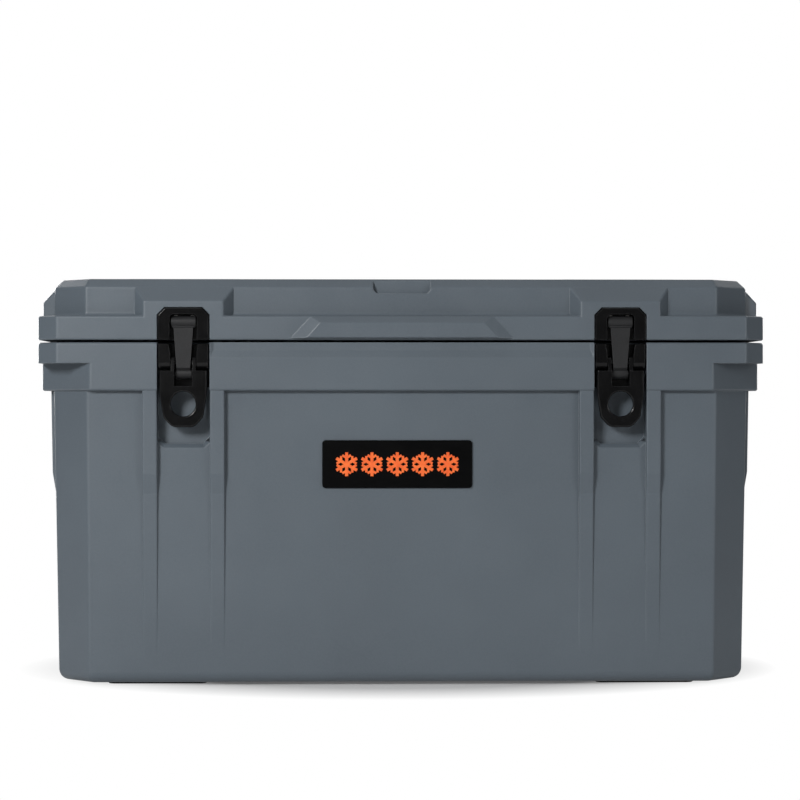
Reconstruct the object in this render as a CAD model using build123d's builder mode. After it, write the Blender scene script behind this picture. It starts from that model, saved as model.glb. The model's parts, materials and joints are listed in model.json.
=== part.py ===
"""Hard cooler: rotomoulded tub and lid with foam inside, two draw latches, two hinges, a drain and feet.

The origin is the middle of the base on the ground, +X points to the right end, -Y is the front and +Z
is up. All sizes are in millimetres.
"""

from build123d import *
import os
from math import cos, radians, sin, sqrt, tan

os.makedirs("parts", exist_ok=True)

# ------------------------------------------------------------------ driving dimensions
# Overall sizes of the mouldings
HALF_WIDTH = 396.0  # middle to the outside of either rim
HALF_DEPTH = 213.0  # middle to the front or rear face of either rim
REACH = 220.0  # middle to the finger lip in front and to the hinge knuckles behind
TOP = 443.0  # top of the lid
BASE = 3.0  # underside of the tub, which stands on its feet
DRAFT = 1.0  # degrees that the tub's walls lean out

# Levels up the tub and the lid
RIB_FOOT = 16.0  # where a rib ends, already inside the wall
RIB_FADE = 31.0  # where a rib has thinned down to the wall
RIB_STEP_LOW = 209.5
RIB_STEP_HIGH = 231.0
BAND_LOW = 321.0
RIM_LOW = 351.0
RECESS_LOW = 357.0  # lower edge of the finger room under the lid's lip
RECESS_DEPTH = 3.0
RECESS_RISE = 8.0  # how far its floor slopes up towards the back
RIM_TOP = 373.5
LID_LOW = 376.0
LEDGE = 402.5

# Plan sizes
RIM_CORNER = 22.0
BAND_CORNER = 58.0
WALL_HALF_WIDTH = 376.8  # at the base, between the ribs
WALL_HALF_DEPTH = 198.5
WALL_CORNER = 37.0
CROWN_HALF_WIDTH = 382.0
CROWN_HALF_DEPTH = 197.3
CROWN_CORNER = 38.0
CROWN_BEVEL = 9.0

# The food space and the skins round the foam
CAVITY_HALF_WIDTH = 326.0
CAVITY_HALF_DEPTH = 158.0
CAVITY_RADIUS = 30.0
CAVITY_FLOOR = 56.0
PLUG_GAP = 5.0
PLUG_LOW = 361.0
SKIN = 5.0
FOAM_GAP = 0.3

# Latches and hinges stand at the same distance either side of the middle
STATION = 237.0
BAY_HALF_WIDTH = 28.5
BAY_DEPTH = 22.0
BAY_LOW = 263.5
BAY_HIGH = 411.5
BAY_CHAMFER = 8.0
MOUTH_EASE = 4.6
PIVOT_Y = -204.0
PIVOT_Z = 352.0
LINK_PIN_Y = -202.3
LINK_PIN_Z = 339.7
HOOK_Y = -205.0
HOOK_Z = 395.8
HOOK_RADIUS = 6.5

HINGE_Y = HALF_DEPTH
HINGE_Z = (RIM_TOP + LID_LOW) / 2
KNUCKLE_RADIUS = REACH - HALF_DEPTH
HINGE_BAY_DEPTH = 10.0
HINGE_PIN_RADIUS = 3.0
RUNNING_FIT = 0.05

DRAIN_Y = 0.0
DRAIN_Z = 75.0
NUT_RADIUS = 16.5

FRONT = -HALF_DEPTH
SIDES = (-1, 1)


# ------------------------------------------------------------------ shapes used more than once
def add_prism(half_width, half_depth, corner, low, high, draft=0.0, mode=Mode.ADD):
    """A block with a chamfered plan, between two levels, whose walls lean out by the draft."""
    with BuildSketch(Plane.XY.offset(low)) as outline:
        Rectangle(2 * half_width, 2 * half_depth)
        chamfer(outline.vertices(), length=corner)
    extrude(outline.sketch, amount=high - low, taper=-draft, mode=mode)


def add_rounded_prism(half_width, half_depth, radius, low, high, draft=0.0, mode=Mode.ADD):
    """A block with a rounded plan, between two levels, whose walls lean out by the draft."""
    with BuildSketch(Plane.XY.offset(low)) as outline:
        RectangleRounded(2 * half_width, 2 * half_depth, radius)
    extrude(outline.sketch, amount=high - low, taper=-draft, mode=mode)


def add_box(x_range, y_range, z_range, mode=Mode.ADD):
    """An upright box between three pairs of limits."""
    middle = [(low + high) / 2 for low, high in (x_range, y_range, z_range)]
    size = [high - low for low, high in (x_range, y_range, z_range)]
    with Locations(tuple(middle)):
        Box(*size, mode=mode)


def add_profile(points, x_low, x_high, mode=Mode.ADD):
    """A solid of one YZ outline between two places along X."""
    with BuildSketch(Plane.YZ.offset(x_low)) as outline:
        Polygon(*points, align=None)
    extrude(outline.sketch, amount=x_high - x_low, mode=mode)


def add_rod(y, z, radius, x_low, x_high, mode=Mode.ADD):
    """A round bar along X."""
    with BuildSketch(Plane.YZ.offset(x_low)) as outline:
        with Locations((y, z)):
            Circle(radius)
    extrude(outline.sketch, amount=x_high - x_low, mode=mode)


def add_front_outline(points, y_outer, y_inner, mode=Mode.ADD):
    """A solid of one front-view outline, between two depths."""
    with BuildSketch(Plane.XZ.offset(-y_outer)) as outline:
        Polygon(*points, align=None)
    extrude(outline.sketch, amount=-(y_inner - y_outer), mode=mode)


def add_screw(point, direction, head_radius, shank_radius, length):
    """A pan-head screw whose head sits on the point and whose shank runs along the direction."""
    seat = Plane(origin=point, z_dir=direction)
    with BuildSketch(seat) as shank:
        Circle(shank_radius)
    extrude(shank.sketch, amount=length)
    with BuildSketch(seat) as head:
        Circle(head_radius)
    extrude(head.sketch, amount=-0.6 * head_radius)
    crown = faces().sort_by(Axis(point, direction))[0]
    fillet(crown.edges(), radius=0.3 * head_radius)
    with BuildSketch(Plane(crown)) as drive:
        Rectangle(1.1 * head_radius, 0.28 * head_radius)
        Rectangle(0.28 * head_radius, 1.1 * head_radius)
    extrude(drive.sketch, amount=-0.3 * head_radius, mode=Mode.SUBTRACT)


def level_edges(piece, level, half_width, half_depth):
    """The edges of a piece that lie flat at one level, within a distance of the middle."""
    flat = piece.edges().filter_by_position(Axis.Z, level - 0.01, level + 0.01)
    flat = flat.filter_by(lambda edge: edge.bounding_box().size.Z < 0.01)
    flat = flat.filter_by_position(Axis.X, -half_width, half_width)
    return flat.filter_by_position(Axis.Y, -half_depth, half_depth)


def bay_outline(low, high, grow=0.0, low_chamfer=0.0, high_chamfer=0.0):
    """Front view of a latch bay about x = 0, with its low or high corners cut off."""
    half = BAY_HALF_WIDTH + grow
    points = []
    if low_chamfer:
        points += [(-half, low + low_chamfer), (-half + low_chamfer, low)]
        points += [(half - low_chamfer, low), (half, low + low_chamfer)]
    else:
        points += [(-half, low), (half, low)]
    if high_chamfer:
        points += [(half, high - high_chamfer), (half - high_chamfer, high)]
        points += [(-half + high_chamfer, high), (-half, high - high_chamfer)]
    else:
        points += [(half, high), (-half, high)]
    return points


def bay_foot(grow):
    """The lowest 15 mm of a latch bay's front view, its foot and cut corners moved out by grow."""
    half = BAY_HALF_WIDTH
    side_low = BAY_LOW + BAY_CHAMFER - grow * sqrt(2)
    foot_half = half - BAY_CHAMFER + grow * (sqrt(2) - 1)
    return [
        (-half, BAY_LOW + 15), (-half, side_low), (-foot_half, BAY_LOW - grow),
        (foot_half, BAY_LOW - grow), (half, side_low), (half, BAY_LOW + 15),
    ]


def moved(points, distance):
    """The same outline further along its first axis."""
    return [(first + distance, second) for first, second in points]


def wall_depth(z):
    """Distance from the middle to the front or rear wall between the ribs, at one level."""
    return WALL_HALF_DEPTH + (z - BASE) * tan(radians(DRAFT))


def wall_width(z):
    """Distance from the middle to either end wall between the ribs, at one level."""
    return WALL_HALF_WIDTH + (z - BASE) * tan(radians(DRAFT))


def rib_profile(wall, proud_high, proud_low):
    """Outline of a rib on a wall: full height under the band, then a step, then fading out."""
    step_lean = (BAND_LOW - RIB_STEP_HIGH) * tan(radians(DRAFT))
    top = wall(BAND_LOW) + proud_high
    inside = wall(BASE) - 12
    sink = proud_low * (RIB_FADE - RIB_FOOT) / (RIB_STEP_LOW - RIB_FADE)
    return [
        (inside, BAND_LOW + 5),
        (top, BAND_LOW + 5),
        (top, BAND_LOW),
        (top - step_lean, RIB_STEP_HIGH),
        (wall(RIB_STEP_LOW) + proud_low, RIB_STEP_LOW),
        (wall(RIB_FOOT) - sink, RIB_FOOT),
        (inside, RIB_FOOT),
    ]


# ------------------------------------------------------------------ tub
RIB_WIDTH = 16.0
RIB_OFFSET = BAY_HALF_WIDTH + RIB_WIDTH / 2
FRONT_RIBS = [side * STATION + end * RIB_OFFSET for side in SIDES for end in SIDES]
END_RIBS = [side * place for side in SIDES for place in (82.0, 138.0)]
HAND_HALF_WIDTH = 62.0
HAND_LOW = 265.0
HAND_HIGH = 341.0
HAND_INNER = 352.0
HAND_LIP = 374.0
DRAIN_RECESS_RADIUS = 31.0
DRAIN_RECESS_FLOOR = wall_width(DRAIN_Z) - 12
SLEEVE_RADIUS = 14.0
FOOT_CENTRES = [(sx * 268.0, sy * 158.0) for sx in SIDES for sy in SIDES]
FOOT_LENGTH = 108.0
FOOT_WIDTH = 34.0
FOOT_SET = 3.0


def add_hand_space(side, grow, mode):
    """The space at one end that fingers reach into, and up behind the band."""
    half = HAND_HALF_WIDTH + grow
    inner = HAND_INNER - grow
    outer = HALF_WIDTH + 4
    lip = HAND_LIP + grow
    points = [
        (side * inner, HAND_LOW - grow + 18),
        (side * (inner + 14), HAND_LOW - grow),
        (side * outer, HAND_LOW - grow),
        (side * outer, BAND_LOW - grow),
        (side * lip, BAND_LOW - grow),
        (side * lip, HAND_HIGH + grow),
        (side * inner, HAND_HIGH + grow),
    ]
    if grow:
        points[3] = (side * outer, BAND_LOW + grow)
        points[4] = (side * lip, BAND_LOW + grow)
    with BuildSketch(Plane.XZ.offset(-half)) as outline:
        Polygon(*points, align=None)
    extrude(outline.sketch, amount=2 * half, mode=mode)


def add_tub_openings(grow, mode):
    """Every space cut into the tub's outside, made larger on all sides by grow."""
    for side in SIDES:
        bay = bay_outline(BAY_LOW - grow, RIM_TOP + 1, grow, low_chamfer=BAY_CHAMFER)
        depth = FRONT + BAY_DEPTH + grow
        add_front_outline(moved(bay, side * STATION), FRONT - 5, depth, mode)
        hinge_bay = bay_outline(BAND_LOW - grow, RIM_TOP + 1, grow)
        hinge_depth = HALF_DEPTH - HINGE_BAY_DEPTH - grow
        add_front_outline(moved(hinge_bay, side * STATION), hinge_depth, HALF_DEPTH + 5, mode)
        add_hand_space(side, grow, mode)
    with BuildSketch(Plane.YZ.offset(-HALF_WIDTH)) as recess:
        with Locations((DRAIN_Y, DRAIN_Z)):
            Circle(DRAIN_RECESS_RADIUS + grow)
    extrude(recess.sketch, amount=HALF_WIDTH - DRAIN_RECESS_FLOOR + grow, mode=mode)


def add_tub_hollow(gap, mode):
    """The space for foam between the tub's two skins, smaller on every side by gap."""
    inset = SKIN + gap
    band_low = BAND_LOW + inset
    add_prism(
        WALL_HALF_WIDTH - inset, WALL_HALF_DEPTH - inset, WALL_CORNER - 2,
        BASE + inset + 4, band_low + 1, DRAFT, mode,
    )
    add_prism(
        HALF_WIDTH - inset, HALF_DEPTH - inset, BAND_CORNER - 2,
        band_low, RIM_TOP - inset, 0, mode,
    )


with BuildPart() as tub_foam:
    add_tub_hollow(FOAM_GAP, Mode.ADD)
    add_rounded_prism(
        CAVITY_HALF_WIDTH + SKIN + FOAM_GAP - 5.5, CAVITY_HALF_DEPTH + SKIN + FOAM_GAP - 5.5,
        CAVITY_RADIUS, CAVITY_FLOOR - SKIN - FOAM_GAP, RIM_TOP + 1, DRAFT, Mode.SUBTRACT,
    )
    add_tub_openings(SKIN + FOAM_GAP, Mode.SUBTRACT)
    add_rod(DRAIN_Y, DRAIN_Z, SLEEVE_RADIUS + SKIN + FOAM_GAP, -HALF_WIDTH, 0, Mode.SUBTRACT)

with BuildPart() as tub_hollow:
    add_tub_hollow(0, Mode.ADD)
    add_rounded_prism(
        CAVITY_HALF_WIDTH + SKIN - 5.5, CAVITY_HALF_DEPTH + SKIN - 5.5,
        CAVITY_RADIUS, CAVITY_FLOOR - SKIN, RIM_TOP + 1, DRAFT, Mode.SUBTRACT,
    )
    add_tub_openings(SKIN, Mode.SUBTRACT)
    add_rod(DRAIN_Y, DRAIN_Z, SLEEVE_RADIUS + SKIN, -HALF_WIDTH, 0, Mode.SUBTRACT)

with BuildPart() as tub_wall:
    add_prism(WALL_HALF_WIDTH, WALL_HALF_DEPTH, WALL_CORNER, BASE, BAND_LOW + 7, DRAFT)
    fillet(tub_wall.faces().sort_by(Axis.Z)[0].edges(), radius=12)
    upright = tub_wall.edges().filter_by(lambda edge: abs(edge.tangent_at(0.5).Z) > 0.9)
    fillet(upright, radius=5)

with BuildPart() as tub_band:
    add_prism(HALF_WIDTH, HALF_DEPTH, BAND_CORNER, BAND_LOW, RIM_TOP)
    fillet(tub_band.edges().filter_by(Axis.Z), radius=5)
    add_prism(HALF_WIDTH, HALF_DEPTH, RIM_CORNER, RIM_LOW, RIM_TOP)
    rim_uprights = tub_band.edges().filter_by(Axis.Z).filter_by_position(Axis.Z, RIM_LOW, RIM_TOP)
    fillet(rim_uprights, radius=4)
    fillet(tub_band.faces().sort_by(Axis.Z)[-1].edges(), radius=2.5)
    fillet(tub_band.faces().sort_by(Axis.Z)[0].edges(), radius=2.5)

with BuildPart() as front_rib:
    add_profile(
        [(-y, z) for y, z in rib_profile(wall_depth, 7.5, 3.6)], -RIB_WIDTH / 2, RIB_WIDTH / 2
    )
    outer_edges = front_rib.edges().filter_by(lambda edge: edge.center().Y < -WALL_HALF_DEPTH + 2)
    fillet(outer_edges, radius=1.5)

with BuildPart() as end_rib:
    add_profile(rib_profile(wall_width, 5.3, 2.0), -RIB_WIDTH / 2, RIB_WIDTH / 2)
    outer_edges = end_rib.edges().filter_by(lambda edge: edge.center().Y > WALL_HALF_WIDTH)
    fillet(outer_edges, radius=1.2)

# The ribs join the walls one at a time
tub_body = tub_wall.part + tub_band.part
for x in FRONT_RIBS:
    for turn in (0, 180):
        tub_body = tub_body + Pos(x, 0, 0) * Rot(0, 0, turn) * front_rib.part
for y in END_RIBS:
    for turn in (-90, 90):
        tub_body = tub_body + Pos(0, y, 0) * Rot(0, 0, turn) * end_rib.part

with BuildPart() as tub_shell:
    add(tub_body)
    add(tub_hollow.part, mode=Mode.SUBTRACT)
    # Finger room under the lid's lip, between the latches
    recess_end = STATION - BAY_HALF_WIDTH
    recess_back = recess_end - 4
    recess_top = RIM_TOP + 1
    with BuildSketch(Plane.XZ.offset(HALF_DEPTH)) as recess_mouth:
        Polygon(
            (-recess_end, RECESS_LOW), (recess_end, RECESS_LOW),
            (recess_end, recess_top), (-recess_end, recess_top),
            align=None,
        )
    recess_floor = RECESS_LOW + RECESS_RISE
    with BuildSketch(Plane.XZ.offset(HALF_DEPTH - RECESS_DEPTH)) as recess_wall:
        Polygon(
            (-recess_back, recess_floor), (recess_back, recess_floor),
            (recess_back, recess_top), (-recess_back, recess_top),
            align=None,
        )
    loft([recess_mouth.sketch, recess_wall.sketch], ruled=True, mode=Mode.SUBTRACT)
    add_tub_openings(0, Mode.SUBTRACT)
    # Food space
    add_rounded_prism(
        CAVITY_HALF_WIDTH - 5.5, CAVITY_HALF_DEPTH - 5.5,
        CAVITY_RADIUS, CAVITY_FLOOR, RIM_TOP + 1, DRAFT, Mode.SUBTRACT,
    )
    add_rod(DRAIN_Y, DRAIN_Z, SLEEVE_RADIUS, -HALF_WIDTH, 0, Mode.SUBTRACT)
    for x, y in FOOT_CENTRES:
        with BuildSketch(Plane.XY.offset(BASE)) as foot_pocket:
            with Locations((x, y)):
                RectangleRounded(FOOT_LENGTH + 1, FOOT_WIDTH + 1, 8.5)
        extrude(foot_pocket.sketch, amount=FOOT_SET, mode=Mode.SUBTRACT)
    # Eased lower mouth of each latch bay
    for side in SIDES:
        with BuildSketch(Plane.XZ.offset(WALL_HALF_DEPTH + MOUTH_EASE)) as mouth:
            Polygon(*moved(bay_foot(MOUTH_EASE), side * STATION), align=None)
        with BuildSketch(Plane.XZ.offset(WALL_HALF_DEPTH)) as throat:
            Polygon(*moved(bay_foot(0), side * STATION), align=None)
        loft([mouth.sketch, throat.sketch], ruled=True, mode=Mode.SUBTRACT)
    # Eased edges: mouth and floor of the food space, mouths of the hand spaces
    fillet(level_edges(tub_shell, RIM_TOP, CAVITY_HALF_WIDTH + 1, CAVITY_HALF_DEPTH + 1), radius=3)
    fillet(level_edges(tub_shell, CAVITY_FLOOR, CAVITY_HALF_WIDTH, CAVITY_HALF_DEPTH), radius=12)
    # Room for the drain's inner nut at the foot of the wall
    nut_wall = CAVITY_HALF_WIDTH - 5.6
    add_rod(DRAIN_Y, DRAIN_Z, NUT_RADIUS + 0.7, -nut_wall, 13 - nut_wall, Mode.SUBTRACT)
    hand_sides = tub_shell.edges().filter_by(lambda e: abs(e.center().X) > HAND_LIP + 6)
    hand_sides = hand_sides.filter_by_position(Axis.Z, HAND_LOW + 1, BAND_LOW - 1)
    hand_sides = hand_sides.filter_by(lambda e: abs(abs(e.center().Y) - HAND_HALF_WIDTH) < 0.3)
    fillet(hand_sides, radius=2)

tub_shell.part.label = "tub_shell"
export_step(tub_shell.part, "parts/tub_shell.step")
tub_foam.part.label = "tub_foam"
export_step(tub_foam.part, "parts/tub_foam.step")

# ------------------------------------------------------------------ lid
BUMP_HALF_WIDTH = 42.9
BUMP_FLARE = 11.0
BUMP_BEVEL = 25.0
END_BUMP_HALF_LENGTH = 148.0
END_BUMP_FLARE = 5.0
END_BUMP_BEVEL = 24.0
BUMP_ROOT = 12.0  # how far a pad reaches into the crown
LIP_LOW = 378.0
LIP_HIGH = 401.5
NOTCH_HALF_WIDTH = 31.5
NOTCH_LOW = 427.0
GASKET_OFFSET = 14.0
GASKET_WIDTH = 8.0
GASKET_LOW = RIM_TOP + 0.3
GASKET_HIGH = LID_LOW + 4.7
CROWN_FOOT_RADIUS = 4.0
PANEL_HALF_WIDTH = 320.0
PANEL_HALF_DEPTH = 142.0
PANEL_SINK = 2.5
PANEL_RIB_PITCH = 46.0
PANEL_RIB_COUNT = 5


def bump(face, crown_face, half_width, flare, bevel):
    """A raised pad from the rim back into the crown, facing -Y, its top front cut at 45 degrees."""
    inner = crown_face - BUMP_ROOT
    inner_half = half_width + flare * (face - inner) / (face - crown_face)
    with BuildPart() as pad:
        with BuildSketch(Plane.XY.offset(LEDGE - 4)) as outline:
            Polygon(
                (-half_width, -face), (half_width, -face), (inner_half, -inner),
                (-inner_half, -inner),
                align=None,
            )
        extrude(outline.sketch, amount=TOP - LEDGE + 4)
        front_top = pad.edges().filter_by(Axis.X).group_by(Axis.Y)[0].sort_by(Axis.Z)[-1]
        chamfer(front_top, length=bevel)
        bevel_back = bevel - face
        eased = pad.edges().filter_by(
            lambda edge: edge.center().Z > LEDGE and edge.center().Y < bevel_back - 1
        )
        fillet(eased, radius=3)
    return pad.part


def add_lid_bays(grow, mode):
    """The latch bays in front and the hinge bays behind, larger on all sides by grow."""
    for side in SIDES:
        bay = bay_outline(LID_LOW - 12, BAY_HIGH + grow, grow, high_chamfer=BAY_CHAMFER)
        depth = FRONT + BAY_DEPTH + grow
        add_front_outline(moved(bay, side * STATION), FRONT - 5, depth, mode)
        hinge_bay = bay_outline(LID_LOW - 12, LEDGE + 6 + grow, grow)
        hinge_depth = HALF_DEPTH - HINGE_BAY_DEPTH - grow
        add_front_outline(moved(hinge_bay, side * STATION), hinge_depth, HALF_DEPTH + 5, mode)


def add_lid_hollow(gap, mode):
    """The space for foam inside the lid, smaller on every side by gap."""
    inset = SKIN + gap
    low = GASKET_HIGH + inset
    add_prism(
        HALF_WIDTH - inset, HALF_DEPTH - inset, RIM_CORNER - 2, low, LEDGE - inset, 0, mode
    )
    add_prism(
        CROWN_HALF_WIDTH - inset - 6, CROWN_HALF_DEPTH - inset - 6, CROWN_CORNER - 2,
        low, TOP - inset, 0, mode,
    )
    add_rounded_prism(
        CAVITY_HALF_WIDTH - PLUG_GAP - inset, CAVITY_HALF_DEPTH - PLUG_GAP - inset,
        CAVITY_RADIUS - PLUG_GAP, PLUG_LOW + inset, low, 0, mode,
    )


with BuildPart() as lid_foam:
    add_lid_hollow(FOAM_GAP, Mode.ADD)
    add_lid_bays(SKIN + FOAM_GAP, Mode.SUBTRACT)

with BuildPart() as lid_hollow:
    add_lid_hollow(0, Mode.ADD)
    add_lid_bays(SKIN, Mode.SUBTRACT)

with BuildPart() as lid_rim:
    add_prism(HALF_WIDTH, HALF_DEPTH, RIM_CORNER, LID_LOW, LEDGE)
    fillet(lid_rim.edges().filter_by(Axis.Z), radius=4)
    fillet(lid_rim.faces().sort_by(Axis.Z)[-1].edges(), radius=2.5)
    fillet(lid_rim.faces().sort_by(Axis.Z)[0].edges(), radius=2)

with BuildPart() as crown:
    add_prism(CROWN_HALF_WIDTH, CROWN_HALF_DEPTH, CROWN_CORNER, LEDGE - 4, TOP)
    chamfer(crown.faces().sort_by(Axis.Z)[-1].edges(), length=CROWN_BEVEL)
    fillet(crown.edges().filter_by(lambda edge: edge.center().Z > LEDGE), radius=4)

latch_bump = bump(HALF_DEPTH, CROWN_HALF_DEPTH, BUMP_HALF_WIDTH, BUMP_FLARE, BUMP_BEVEL)
end_bump = bump(
    HALF_WIDTH, CROWN_HALF_WIDTH, END_BUMP_HALF_LENGTH, END_BUMP_FLARE, END_BUMP_BEVEL
)

with BuildPart() as lip:
    with BuildSketch(Plane.XZ.offset(HALF_DEPTH - 6)) as root:
        Polygon((-121, LIP_LOW), (121, LIP_LOW), (99, LIP_HIGH), (-99, LIP_HIGH), align=None)
    extrude(root.sketch, amount=6)
    with BuildSketch(Plane.XZ.offset(HALF_DEPTH)) as low_outline:
        Polygon((-121, LIP_LOW), (121, LIP_LOW), (99, LIP_HIGH), (-99, LIP_HIGH), align=None)
    with BuildSketch(Plane.XZ.offset(REACH)) as high_outline:
        Polygon((-104, LIP_LOW), (104, LIP_LOW), (88.5, 394.7), (-88.5, 394.7), align=None)
    loft([low_outline.sketch.face(), high_outline.sketch.face()], ruled=True)
    lip_edges = lip.edges().filter_by_position(Axis.Y, -REACH - 1, 1 - HALF_DEPTH)
    lip_face = lip_edges.filter_by_position(Axis.Y, -REACH - 0.01, 0.01 - REACH)
    lip_hips = lip_edges.filter_by_position(Axis.Z, LIP_HIGH - 5, LIP_HIGH).filter_by(
        lambda edge: 50 < abs(edge.center().X)
    )
    fillet(lip_face + lip_hips, radius=1.5)

with BuildPart() as lid_shell:
    add(lid_rim.part)
    add(crown.part)
    for side in SIDES:
        add(Pos(side * STATION, 0, 0) * latch_bump)
        add(Pos(side * STATION, 0, 0) * Rot(0, 0, 180) * latch_bump)
        add(Rot(0, 0, side * 90) * end_bump)
    add(lip.part)
    # The plug under the lid reaches down into the food space
    add_rounded_prism(
        CAVITY_HALF_WIDTH - PLUG_GAP, CAVITY_HALF_DEPTH - PLUG_GAP, CAVITY_RADIUS - PLUG_GAP,
        PLUG_LOW, LID_LOW + 1,
    )
    add(lid_hollow.part, mode=Mode.SUBTRACT)
    add_lid_bays(0, Mode.SUBTRACT)
    with BuildSketch(Plane.XY.offset(LID_LOW)) as groove:
        RectangleRounded(
            2 * (CAVITY_HALF_WIDTH + GASKET_OFFSET) + GASKET_WIDTH,
            2 * (CAVITY_HALF_DEPTH + GASKET_OFFSET) + GASKET_WIDTH,
            CAVITY_RADIUS + GASKET_OFFSET,
        )
        RectangleRounded(
            2 * (CAVITY_HALF_WIDTH + GASKET_OFFSET) - GASKET_WIDTH,
            2 * (CAVITY_HALF_DEPTH + GASKET_OFFSET) - GASKET_WIDTH,
            CAVITY_RADIUS + GASKET_OFFSET - GASKET_WIDTH,
            mode=Mode.SUBTRACT,
        )
    extrude(groove.sketch, amount=GASKET_HIGH - LID_LOW, mode=Mode.SUBTRACT)
    # Notch in the middle of the crown's front edge
    with BuildSketch(Plane.XZ.offset(CROWN_HALF_DEPTH - 7)) as notch:
        Polygon(
            (-NOTCH_HALF_WIDTH, TOP + 1), (-NOTCH_HALF_WIDTH, NOTCH_LOW + 4),
            (-NOTCH_HALF_WIDTH + 4, NOTCH_LOW), (NOTCH_HALF_WIDTH - 4, NOTCH_LOW),
            (NOTCH_HALF_WIDTH, NOTCH_LOW + 4), (NOTCH_HALF_WIDTH, TOP + 1),
            align=None,
        )
    extrude(notch.sketch, amount=10, mode=Mode.SUBTRACT)
    foot_half_width = CROWN_HALF_WIDTH - CROWN_CORNER + 10
    crown_foot = level_edges(lid_shell, LEDGE, foot_half_width, CROWN_HALF_DEPTH + 1)
    crown_foot = crown_foot.filter_by(lambda e: abs(e.center().Y) > CROWN_HALF_DEPTH - 1)
    fillet(crown_foot, radius=CROWN_FOOT_RADIUS)
    # Sunk panel in the top with raised grip ribs
    with BuildSketch(Plane.XY.offset(TOP)) as panel:
        RectangleRounded(2 * PANEL_HALF_WIDTH, 2 * PANEL_HALF_DEPTH, 24)
        with GridLocations(0, PANEL_RIB_PITCH, 1, PANEL_RIB_COUNT):
            SlotOverall(2 * PANEL_HALF_WIDTH - 70, 11, mode=Mode.SUBTRACT)
    extrude(panel.sketch, amount=-PANEL_SINK, mode=Mode.SUBTRACT)
    fillet(level_edges(lid_shell, TOP, PANEL_HALF_WIDTH + 1, PANEL_HALF_DEPTH + 1), radius=1)

with BuildPart() as lid_gasket:
    with BuildSketch(Plane.XY.offset(GASKET_LOW)) as ring:
        RectangleRounded(
            2 * (CAVITY_HALF_WIDTH + GASKET_OFFSET) + GASKET_WIDTH - 0.4,
            2 * (CAVITY_HALF_DEPTH + GASKET_OFFSET) + GASKET_WIDTH - 0.4,
            CAVITY_RADIUS + GASKET_OFFSET - 0.2,
        )
        RectangleRounded(
            2 * (CAVITY_HALF_WIDTH + GASKET_OFFSET) - GASKET_WIDTH + 0.4,
            2 * (CAVITY_HALF_DEPTH + GASKET_OFFSET) - GASKET_WIDTH + 0.4,
            CAVITY_RADIUS + GASKET_OFFSET - GASKET_WIDTH + 0.2,
            mode=Mode.SUBTRACT,
        )
    extrude(ring.sketch, amount=GASKET_HIGH - GASKET_LOW)
    fillet(lid_gasket.faces().sort_by(Axis.Z)[0].edges(), radius=1.5)

for piece, name in ((lid_shell, "lid_shell"), (lid_foam, "lid_foam"), (lid_gasket, "lid_gasket")):
    piece.part.label = name
    export_step(piece.part, f"parts/{name}.step")

# ------------------------------------------------------------------ latches
BRACKET_FRONT = FRONT - 1.5
BAY_FLOOR = FRONT + BAY_DEPTH
BRACKET_HALF_WIDTH = BAY_HALF_WIDTH - 0.5
SLOT_HALF_WIDTH = 14.9
SLOT_HIGH = 404.0
SLOT_BACK = -197.0
SEAT_RADIUS = HOOK_RADIUS + 0.3
BASE_HALF_WIDTH = 27.2
BASE_LOW = 325.0
BASE_HIGH = 372.0
BASE_PLATE_FRONT = BAY_FLOOR - 3.5
BASE_SCREWS = ((-20.0, 333.0), (20.0, 333.0), (0.0, 361.0))
CHEEK_INNER = 14.0
CHEEK_FLARE = 2.2
CHEEK_RADIUS = 9.0
LEVER_HALF_WIDTH = 25.6
LEVER_FRONT = -215.0
LEVER_BACK = -207.0
LEVER_TOP = 342.6
LEVER_SLOT_HALF_WIDTH = 9.8
LEVER_SLOT_LOW = 326.0
EAR_OUTER = 13.5
EAR_RADIUS = 7.0
FINGER_Z = 306.7
FINGER_RADIUS = 13.5
PIN_RADIUS = 2.25
BARREL_HALF_WIDTH = 8.7
BARREL_RADIUS = 6.0
HOOK_HALF_WIDTH = 13.3

with BuildPart() as bracket:
    outline = bay_outline(LID_LOW + 0.5, BAY_HIGH - 0.5, -0.5, high_chamfer=BAY_CHAMFER)
    add_front_outline(outline, BRACKET_FRONT, BAY_FLOOR)
    front_rim = bracket.faces().sort_by(Axis.Y)[0].edges()
    chamfer(front_rim.filter_by(lambda edge: edge.center().Z > LID_LOW + 1), length=1.2)
    add_front_outline(
        [
            (-SLOT_HALF_WIDTH, LID_LOW), (SLOT_HALF_WIDTH, LID_LOW),
            (SLOT_HALF_WIDTH, SLOT_HIGH - 3), (SLOT_HALF_WIDTH - 3, SLOT_HIGH),
            (3 - SLOT_HALF_WIDTH, SLOT_HIGH), (-SLOT_HALF_WIDTH, SLOT_HIGH - 3),
        ],
        FRONT - 5, SLOT_BACK, Mode.SUBTRACT,
    )
    # Curved seat that the link's round head bears down on
    add_box(
        (-SLOT_HALF_WIDTH, SLOT_HALF_WIDTH), (HOOK_Y, SLOT_BACK + 0.5), (LID_LOW + 0.5, HOOK_Z)
    )
    add_rod(HOOK_Y, HOOK_Z, SEAT_RADIUS, -SLOT_HALF_WIDTH, SLOT_HALF_WIDTH, Mode.SUBTRACT)
    for x in (-9.0, 9.0):
        with Locations(Plane(origin=(x, SLOT_BACK, LID_LOW + 24), z_dir=(0, -1, 0))):
            CounterSinkHole(radius=2.1, counter_sink_radius=3.8, depth=20)

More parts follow.
